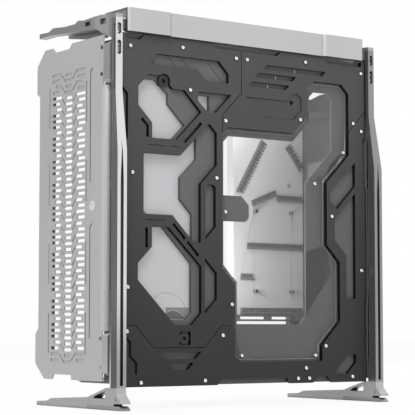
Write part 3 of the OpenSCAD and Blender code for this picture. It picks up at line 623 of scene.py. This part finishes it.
def scatter_tree() -> bpy.types.NodeTree:
    """Makes the tree that sets one part on every point, each turned by its own angle.

    Returns:
        The tree. Its inputs are Part, Turn, Seed and Finish.
    """
    tree = new_tree("set_on_points", [
        Plug("Part", "NodeSocketObject"), Plug("Turn", "NodeSocketFloat", math.pi),
        Plug("Seed", "NodeSocketInt", 4), Plug("Finish", "NodeSocketMaterial")])
    w = Wiring(tree)
    takes = tree.nodes["in"].outputs
    points = w.node("GeometryNodeMeshToPoints")
    w.join(takes["Geometry"], points.inputs["Mesh"])
    part = w.node("GeometryNodeObjectInfo", transform_space="ORIGINAL")
    w.join(takes["Part"], part.inputs["Object"])
    spin = w.node("FunctionNodeRandomValue", data_type="FLOAT")
    w.join(takes["Turn"], spin.inputs[3])
    w.join(takes["Seed"], spin.inputs["Seed"])
    turn = w.node("ShaderNodeCombineXYZ")
    w.join(spin.outputs[1], turn.inputs["Y"])
    place = w.node("GeometryNodeInstanceOnPoints")
    w.join(points.outputs[0], place.inputs["Points"])
    w.join(part.outputs["Geometry"], place.inputs["Instance"])
    w.join(turn.outputs[0], place.inputs["Rotation"])
    close_tree(w, tree, place.outputs[0])
    return tree


def bead_tree() -> bpy.types.NodeTree:
    """Makes the tree that runs a thin bead along every edge of a mesh.

    Returns:
        The tree. Its inputs are Radius, Sides and Finish.
    """
    tree = new_tree("bead_on_path", [
        Plug("Radius", "NodeSocketFloat", 0.0005), Plug("Sides", "NodeSocketInt", 6),
        Plug("Finish", "NodeSocketMaterial")])
    w = Wiring(tree)
    takes = tree.nodes["in"].outputs
    curve = w.node("GeometryNodeMeshToCurve")
    w.join(takes["Geometry"], curve.inputs["Mesh"])
    ring = w.node("GeometryNodeCurvePrimitiveCircle")
    w.join(takes["Sides"], ring.inputs["Resolution"])
    w.join(takes["Radius"], ring.inputs["Radius"])
    tube = w.node("GeometryNodeCurveToMesh")
    w.join(curve.outputs[0], tube.inputs["Curve"])
    w.join(ring.outputs[0], tube.inputs["Profile Curve"])
    tube.inputs["Fill Caps"].default_value = True
    close_tree(w, tree, tube.outputs[0])
    return tree


# Meshes


def mesh_of(name: str, points: Sequence[Sequence[float]], edges: Sequence[tuple[int, int]] = (),
            faces: Sequence[Sequence[int]] = ()) -> bpy.types.Mesh:
    """Makes a mesh from points in millimetres."""
    made = bpy.data.meshes.new(name)
    made.from_pydata([[v * MM for v in p] for p in points], edges, faces)
    made.update()
    return made


def revolved(name: str, profile: Sequence[tuple[float, float]], sides: int = 20) -> bpy.types.Mesh:
    """Turns a profile about the Y axis.

    Args:
        name: The mesh's name.
        profile: Radius and Y of each point, in millimetres, from the front's middle outwards.
        sides: How many sides the turned shape has.

    Returns:
        The mesh, closed and smooth-shaded.
    """
    form = bmesh.new()
    rings = []
    for radius, y in profile:
        if radius == 0:
            rings.append([form.verts.new((0, y * MM, 0))])
            continue
        rings.append([form.verts.new((radius * math.cos(2 * math.pi * i / sides) * MM, y * MM,
                                      radius * math.sin(2 * math.pi * i / sides) * MM))
                      for i in range(sides)])
    for a, b in zip(rings, rings[1:]):
        for i in range(sides):
            j = (i + 1) % sides
            corners = [a[i % len(a)], a[j % len(a)], b[j % len(b)], b[i % len(b)]]
            form.faces.new(list(dict.fromkeys(corners)))
    bmesh.ops.recalc_face_normals(form, faces=form.faces)
    made = bpy.data.meshes.new(name)
    form.to_mesh(made)
    form.free()
    for face in made.polygons:
        face.use_smooth = True
    return made


def prism(name: str, outline: Sequence[tuple[float, float]], axis: str, start: float,
          deep: float) -> bpy.types.Mesh:
    """Pushes an outline through a depth.

    Args:
        name: The mesh's name.
        outline: Y and Z of each corner where the axis is x, X and Z where it is y.
        axis: The way it is pushed, x or y.
        start: Where it starts along that axis, in millimetres.
        deep: How deep it is, in millimetres.

    Returns:
        The closed mesh.
    """
    count = len(outline)
    points = [(at, a, b) if axis == "x" else (a, at, b)
              for at in (start, start + deep) for a, b in outline]
    sides = [(i, (i + 1) % count, (i + 1) % count + count, i + count) for i in range(count)]
    return mesh_of(name, points, (), [tuple(range(count)), tuple(range(count, 2 * count)), *sides])


def on_cover(u: float, v: float, y: float) -> tuple[float, float, float]:
    """Turns a place on the cover into the case's own coordinates, in millimetres."""
    return (u + COVER_LEFT, y, v + COVER_FOOT)


# Sub-assemblies


@dataclass
class Carcass:
    """Every CAD piece that keeps its own shape: eased edges and a finish."""

    shop: FinishShop
    ease: float = 0.35
    fine_ease: float = 0.15
    fine: tuple[str, ...] = ("vent_panel", "slot_covers", "cable_combs", "floor_plate",
                             "rear_panel", "board_standoffs", "drive_screws", "bracket_screws",
                             "slot_screws", "tray_screw", "power_button")
    # Copies of one frame alloy, lighter or darker for how light falls on each part, are painted
    # light and shade.
    recoat: dict[str, str] = field(default_factory=lambda: {
        "board_tray": "tray_metal", "power_button": "button_cap",
        "foot_blade_left": "shaded_foot_metal", "foot_blade_right": "shaded_foot_metal",
        "top_arm_left": "shaded_arm_metal", "top_arm_right": "shaded_arm_metal",
        "top_bar": "shaded_bar_metal", "bar_cap_left": "shaded_bar_metal", "bar_cap_right": "shaded_bar_metal",
        "column_left": "lit_column_metal", "column_right": "shaded_column_metal"})

    def dress(self) -> None:
        """Gives each carried node its finish and eased edges."""
        for part in frame["record"]["subparts"]:
            node = frame["nodes"][part["node"]]
            node.data.materials.clear()
            slot = self.recoat.get(part["node"], part["material_slot"])
            node.data.materials.append(self.shop.take(slot))
            weld = node.modifiers.new("weld", "WELD")
            weld.merge_threshold = 0.00001
            width = self.fine_ease if part["node"] in self.fine else self.ease
            ease = node.modifiers.new("ease", "BEVEL")
            ease.width = width * MM
            ease.segments = 2
            ease.limit_method = "ANGLE"
            ease.angle_limit = math.radians(40)
            ease.use_clamp_overlap = True
            ease.harden_normals = True


@dataclass
class CoverFixings:
    """The domed screws of the cover and of the window sheet."""

    shop: FinishShop
    head_r: float = 2.8
    head_h: float = 2.3
    socket_r: float = 1.55
    cover_y: float = -83.0
    backing_y: float = -77.0
    cover_places: tuple[tuple[float, float], ...] = (
        (16, 468), (104, 474), (198, 468), (218, 468), (327, 475), (436, 468), (117, 415),
        (179, 376), (317, 388), (420, 390), (436, 379), (20, 293), (163, 293), (377, 247),
        (435, 167), (13, 136), (190, 114), (12, 76), (174, 70), (364, 54), (326, 22), (311, 7),
        (332, 7), (416, 8), (143, 7), (35, 6))
    window_places: tuple[tuple[float, float], ...] = (
        (212, 41), (349, 40), (405, 345), (349, 295), (183, 246))

    def head(self) -> bpy.types.Object:
        """Makes one domed head with a hex socket, its seat at the origin."""
        r, h, s = self.head_r, self.head_h, self.socket_r
        profile = [(0, -h + 1.5), (s, -h + 1.5), (s, -h), (s + 0.3, -h), (r * 0.8, -h * 0.92),
                   (r * 0.95, -h * 0.76), (r, -h * 0.5), (r, 0), (1.5, 0), (1.5, 4), (0, 4)]
        form = revolved("screw_head", profile, 18)
        return add("screw_head", form)

    def build(self) -> None:
        """Sets the heads and hides the plain CAD screws."""
        head = self.head()
        finish = self.shop.take("screw_metal")
        for name, places, y in (("cover_screws", self.cover_places, self.cover_y),
                                ("window_screws", self.window_places, self.backing_y)):
            points = mesh_of(name, [on_cover(u, v, y) for u, v in places])
            piece = bake(name + ".domed", points, scatter_tree(),
                         {"Part": head, "Turn": math.pi, "Seed": 7, "Finish": finish})
            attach(piece, Body.CASE.value)
            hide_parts(name)
            log.info("%s: %d screws", name, len(places))
        bpy.data.objects.remove(head)


@dataclass
class WindowEdgeHighlight:
    """A painted highlight: a bright metal bead, just inside the window's outline, that stands in
    for the light caught by the sheet's edge.
    """

    shop: FinishShop
    inset: float = 3.4
    y: float = -76.9
    radius: float = 0.25
    outline: tuple[tuple[float, float], ...] = (
        (344, 448), (398, 448), (412, 434), (412, 341), (368, 297), (368, 204), (393, 179),
        (393, 90), (358, 55), (358, 32), (206, 32), (196, 42), (196, 144), (174, 166), (174, 357),
        (184, 367), (305, 367), (331, 393), (331, 435))

    def inner(self) -> list[tuple[float, float, float]]:
        """Returns the outline moved inwards, in the case's own coordinates."""
        count = len(self.outline)
        made = []
        for i in range(count):
            a, b, c = (Vector(self.outline[(i + k) % count]) for k in (-1, 0, 1))
            m, n = (Vector((d.y, -d.x)) for d in ((b - a).normalized(), (c - b).normalized()))
            corner = b + (m + n) * (self.inset / (1 + m.dot(n)))
            made.append(on_cover(corner.x, corner.y, self.y))
        return made

    def build(self) -> None:
        """Runs the bead round the window."""
        points = self.inner()
        edges = [(i, (i + 1) % len(points)) for i in range(len(points))]
        # Painted highlight: the bright bead stands for the glint along the sheet's edge.
        finish = self.shop.take("bright_trim")
        piece = bake("window_edge_line", mesh_of("window_edge_line", points, edges), bead_tree(),
                     {"Radius": self.radius * MM, "Sides": 6, "Finish": finish})
        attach(piece, Body.CASE.value)
        log.info("window edge line: %d corners", len(points))


@dataclass
class SmallFittings:
    """Small pieces behind the openings: shield, comb, pump face, lines and slot screws."""

    shop: FinishShop
    wall_x: float = 229.0
    glass_y: float = -71.0
    backing_y: float = -77.0
    slot_x: float = 229.0
    slot_y: float = -87.0
    slot_screws: tuple[float, ...] = (488.0, 497.0, 514.5, 522.5)
    comb_y: float = 72.6
    tooth_pitch: float = 6.0
    tooth_span: tuple[float, float] = (3.5, 8.8)
    slanted_combs: tuple[tuple[tuple[float, float], tuple[float, float]], ...] = (
        ((147, 403), (99, 322)), ((197, 398), (224, 364)))

    def keep(self, piece: bpy.types.Object, finish: str | None = None) -> None:
        """Hands a piece to the case's body and, where it has none, a finish."""
        if finish:
            piece.data.materials.append(self.shop.take(finish))
        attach(piece, Body.CASE.value)

    def solid(self, name: str, mesh: bpy.types.Mesh, slot: str, finish: str) -> None:
        """Adds one closed piece with its faces turned outwards."""
        form = bmesh.new()
        form.from_mesh(mesh)
        bmesh.ops.recalc_face_normals(form, faces=form.faces)
        form.to_mesh(mesh)
        form.free()
        self.keep(add(name, mesh), finish)

    def shield(self) -> None:
        """Adds the blank shield in the board's socket aperture, with chamfered corners."""
        outline = [(12, 213), (15, 210), (58, 210), (61, 213), (61, 370), (58, 373), (15, 373),
                   (12, 370)]
        mesh = prism("io_shield", outline, "x", self.wall_x - 0.8, 0.6)
        self.solid("io_shield", mesh, "rear_metal", "shield_grey")

    def comb(self) -> None:
        """Adds the ribbed cable comb high on the rear wall."""
        back = [(-15, 439), (-13, 437), (53, 443), (55, 445), (55, 453), (53, 455), (-13, 448),
                (-15, 446)]
        self.solid("wall_comb", prism("wall_comb", back, "x", self.wall_x - 2, 2), "comb_rubber",
                   "comb_rubber")
        tooth = prism("tooth", [(-0.7, -5), (0.7, -5), (0.9, -4), (0.9, 4), (0.7, 5), (-0.7, 5)],
                      "x", -1.4, 1.4)
        part = add("tooth", tooth)
        places = mesh_of("wall_comb.teeth", [(self.wall_x - 2, y, 443 + (y + 13) * 0.09)
                                             for y in range(-12, 53, 3)])
        piece = bake("wall_comb.teeth", places, scatter_tree(),
                     {"Part": part, "Turn": 0.0, "Seed": 1,
                      "Finish": self.shop.take("comb_rubber")})
        bpy.data.objects.remove(part)
        self.keep(piece)

    def pump_face(self) -> None:
        """Adds the pump's housing and rim, seen low in the lowest opening."""
        house = [(84.5, 93), (114, 93), (123.5, 102.5), (123.5, 108), (121, 109), (84.5, 109)]
        arc = [(96 + 22.5 * math.sin(a / 10), 82 + 22.5 * math.cos(a / 10)) for a in range(-5, 11)]
        disc = [(84.5, 93.0), *arc, (115, 94.0), (114, 93.0)]
        for name, outline, deep, finish in (("pump_housing_face", house, 0.2, "pump_grey"),
                                            ("pump_disc_face", disc, 0.4, "pump_dark")):
            flat = [on_cover(u, v, 0.0)[::2] for u, v in outline]
            mesh = prism(name, flat, "y", self.glass_y - deep, deep)
            self.solid(name, mesh, "body_metal", finish)
        rim = [on_cover(u, v, self.glass_y - 0.5) for u, v in arc]
        self.bead("pump_rim", rim, [(i, i + 1) for i in range(len(rim) - 1)], 0.35,
                  "bright_trim")

    def bead(self, name: str, points: Sequence[tuple[float, float, float]],
             edges: Sequence[tuple[int, int]], radius: float, finish: str) -> None:
        """Runs a thin bead along edges between points.

        Args:
            name: The piece's name.
            points: Points in millimetres.
            edges: Pairs of points.
            radius: The bead's radius, in millimetres.
            finish: The finish, which is its slot too.
        """
        piece = bake(name, mesh_of(name, points, edges), bead_tree(),
                     {"Radius": radius * MM, "Sides": 6, "Finish": self.shop.take(finish)})
        self.keep(piece)

    def lines(self) -> None:
        """Adds the slanted lines of the top left pocket and the ticks of the upper slots."""
        y = self.backing_y - 0.1
        slanted = [(83, 460), (109, 434), (106, 459.5), (135, 431), (150, 459.5), (179, 431)]
        ticks = [(311.5, 457.5), (311.5, 463.5), (275.6, 444.5), (275.6, 450.5), (260.4, 430.5),
                 (260.4, 436.5)]
        pairs = [(0, 1), (2, 3), (4, 5)]
        self.bead("pocket_lines", [on_cover(u, v, y) for u, v in slanted], pairs, 0.3,
                  "black_plastic")
        self.bead("slot_ticks", [on_cover(u, v, y) for u, v in ticks], pairs, 0.4, "screw_metal")

    def comb_teeth(self) -> None:
        """Adds the long teeth of the two steep cable combs on the board tray."""
        points = []
        for start, end in self.slanted_combs:
            a, b = Vector(start), Vector(end)
            along = (b - a).normalized()
            side = Vector((-along.y, along.x))
            for i in range(int((b - a).length / self.tooth_pitch) + 1):
                for reach in self.tooth_span:
                    spot = a + along * (i * self.tooth_pitch) + side * reach
                    points.append((spot.x, self.comb_y, spot.y))
        pairs = [(i, i + 1) for i in range(0, len(points), 2)]
        self.bead("comb_teeth", points, pairs, 0.8, "comb_rubber")

    def column_screws(self) -> None:
        """Adds the small screws in the slots of both upper columns."""
        profile = [(0, -0.5), (0.7, -0.5), (0.7, -1.3), (1.4, -1.2), (1.9, -0.7), (2.0, 0.0),
                   (0, 0.0)]
        part = add("slot_screw", revolved("slot_screw", profile, 14))
        places = mesh_of("column_slot_screws", [(s * self.slot_x, self.slot_y, z)
                                                for s in (-1, 1) for z in self.slot_screws])
        piece = bake("column_slot_screws", places, scatter_tree(),
                     {"Part": part, "Turn": 1.0, "Seed": 3,
                      "Finish": self.shop.take("screw_metal")})
        bpy.data.objects.remove(part)
        self.keep(piece)

    def build(self) -> None:
        """Adds every small fitting."""
        self.shield()
        self.comb()
        self.pump_face()
        self.lines()
        self.column_screws()
        self.comb_teeth()
        log.info("small fittings: done")


# Light, floor and camera


@dataclass(frozen=True)
class Studio:
    """A white cove with soft light from above and from the left."""

    level: float = 0.62
    floor_white: float = 0.93

    def build(self) -> None:
        """Makes the world, the floor and the lamps."""
        self._world()
        self._floor()
        self._lamp("key", (-1.5, -1.9, 2.7), 1.3, 38.0)
        self._lamp("top", (0.1, 0.1, 2.6), 2.4, 18.0)
        self._lamp("back", (1.8, 1.8, 1.6), 2.0, 18.0)
        self._lamp("inner_top", (0.06, 0.0, 0.47), 0.08, 0.2, (0.15, 0.07, 0.2))
        self._lamp("inner_low", (-0.03, 0.01, 0.2), 0.08, 0.38, (0.18, 0.06, 0.25))
        self._flag("side_flag", (-1.75, 2.3, 0.4), 1.5, 1.3)

    def _seen(self, w: Wiring) -> bpy.types.NodeSocket:
        """Returns 1 for what the camera sees itself, in a mirror or through a sheet."""
        path = w.node("ShaderNodeLightPath")
        seen = w.math("ADD", path.outputs["Is Camera Ray"], path.outputs["Is Glossy Ray"], True)
        return w.math("ADD", seen, path.outputs["Is Transmission Ray"], True)

    def _world(self) -> None:
        """Makes the world: white to look at, softer where it lights matt surfaces."""
        world = bpy.data.worlds.new("cove")
        world.use_nodes = True
        bpy.context.scene.world = world
        w = Wiring(world.node_tree)
        shown = world.node_tree.nodes["Background"]
        seen = self._seen(w)
        shown.inputs["Color"].default_value = (1.0, 1.0, 1.0, 1.0)
        w.join(w.math("ADD", self.level, w.math("MULTIPLY", seen, 1.0 - self.level)),
               shown.inputs["Strength"])

    def _floor(self) -> None:
        """Makes the pale floor that keeps the shadow."""
        mesh = mesh_of("floor", [(-9000, -9000, -0.2), (9000, -9000, -0.2), (9000, 9000, -0.2),
                                 (-9000, 9000, -0.2)], (), [(0, 1, 2, 3)])
        floor = add("floor", mesh)
        made = bpy.data.materials.new("pale_floor")
        made.use_nodes = True
        w = Wiring(made.node_tree)
        tree = made.node_tree
        tree.nodes.remove(tree.nodes["Principled BSDF"])
        matt = w.node("ShaderNodeBsdfDiffuse")
        matt.inputs["Color"].default_value = (0.9, 0.9, 0.9, 1.0)
        light = w.node("ShaderNodeEmission")
        mix = w.node("ShaderNodeMixShader")
        seen = self._seen(w)
        w.join(w.math("MULTIPLY", seen, self.floor_white), mix.inputs["Fac"])
        w.join(matt.outputs[0], mix.inputs[1])
        w.join(light.outputs[0], mix.inputs[2])
        w.join(mix.outputs[0], tree.nodes["Material Output"].inputs["Surface"])
        mesh.materials.append(made)

    def _flag(self, name: str, place: tuple[float, float, float], wide: float,
              high: float) -> None:
        """Stands a dark screen that only the metals mirror, darkest in its middle.

        Args:
            name: The screen's name.
            place: Its middle, in metres.
            wide: Half its width, in metres.
            high: Half its height, in metres.
        """
        x, y, z = place
        away = Vector((-y, x, 0.0)).normalized() * wide
        corners = [(x + i * away.x, y + i * away.y, z + k * high) for i, k in
                   ((-1, -1), (1, -1), (1, 1), (-1, 1))]
        mesh = mesh_of(name, [[v / MM for v in c] for c in corners], (), [(0, 1, 2, 3)])
        flag = add(name, mesh)
        for ray in ("camera", "diffuse", "transmission", "volume_scatter", "shadow"):
            setattr(flag, "visible_" + ray, False)
        made = bpy.data.materials.new(name)
        made.use_nodes = True
        w = Wiring(made.node_tree)
        made.node_tree.nodes.remove(made.node_tree.nodes["Principled BSDF"])
        apart = w.node("ShaderNodeVectorMath", operation="DISTANCE")
        w.join(w.node("ShaderNodeTexCoord").outputs["Object"], apart.inputs[0])
        apart.inputs[1].default_value = place
        glow = w.node("ShaderNodeEmission")
        w.join(w.ramp(apart.outputs["Value"], 0.35 * wide, wide, 0.04, 0.95),
               glow.inputs["Strength"])
        w.join(glow.outputs[0], made.node_tree.nodes["Material Output"].inputs["Surface"])
        mesh.materials.append(made)

    def _lamp(self, name: str, place: tuple[float, float, float], size: float, power: float,
              aim: tuple[float, float, float] = (0.0, 0.0, 0.27)) -> None:
        """Hangs a soft square lamp.

        Args:
            name: The lamp's name.
            place: Where it hangs, in metres.
            size: Its side, in metres.
            power: Its power, in watts.
            aim: The place that it looks at, in metres.
        """
        data = bpy.data.lights.new(name, "AREA")
        data.shape = "SQUARE"
        data.size = size
        data.energy = power
        lamp = add(name, data)
        lamp.visible_camera = False
        away = Vector(place) - Vector(aim)
        turn = away.to_track_quat("Z", "Y").to_matrix().to_4x4()
        lamp.matrix_world = Matrix.Translation(place) @ turn


@dataclass(frozen=True)
class Viewpoint:
    """The photograph's camera: low, close to level, off the case's left corner."""

    place: tuple[float, float, float] = (-1.4097, -1.9208, 0.1091)
    yaw: float = 36.0
    pitch: float = 4.307
    lens: float = 139.79

    def build(self) -> None:
        """Makes the camera and hands it to the scene."""
        data = bpy.data.cameras.new("viewpoint")
        data.lens = self.lens
        data.sensor_width = 36.0
        data.clip_start = 0.05
        data.clip_end = 60.0
        camera = add("viewpoint", data)
        camera.location = self.place
        camera.rotation_euler = (math.radians(90 + self.pitch), 0.0, math.radians(-self.yaw))
        bpy.context.scene.camera = camera


def main() -> None:
    """Builds the light, the camera and each sub-assembly in turn."""
    logging.basicConfig(level=logging.INFO, format="%(name)s: %(message)s")
    bpy.context.scene.view_settings.view_transform = "Standard"
    Viewpoint().build()
    Studio().build()
    shop = FinishShop()
    Carcass(shop).dress()
    CoverFixings(shop).build()
    WindowEdgeHighlight(shop).build()
    SmallFittings(shop).build()


if __name__ == "__main__":
    main()
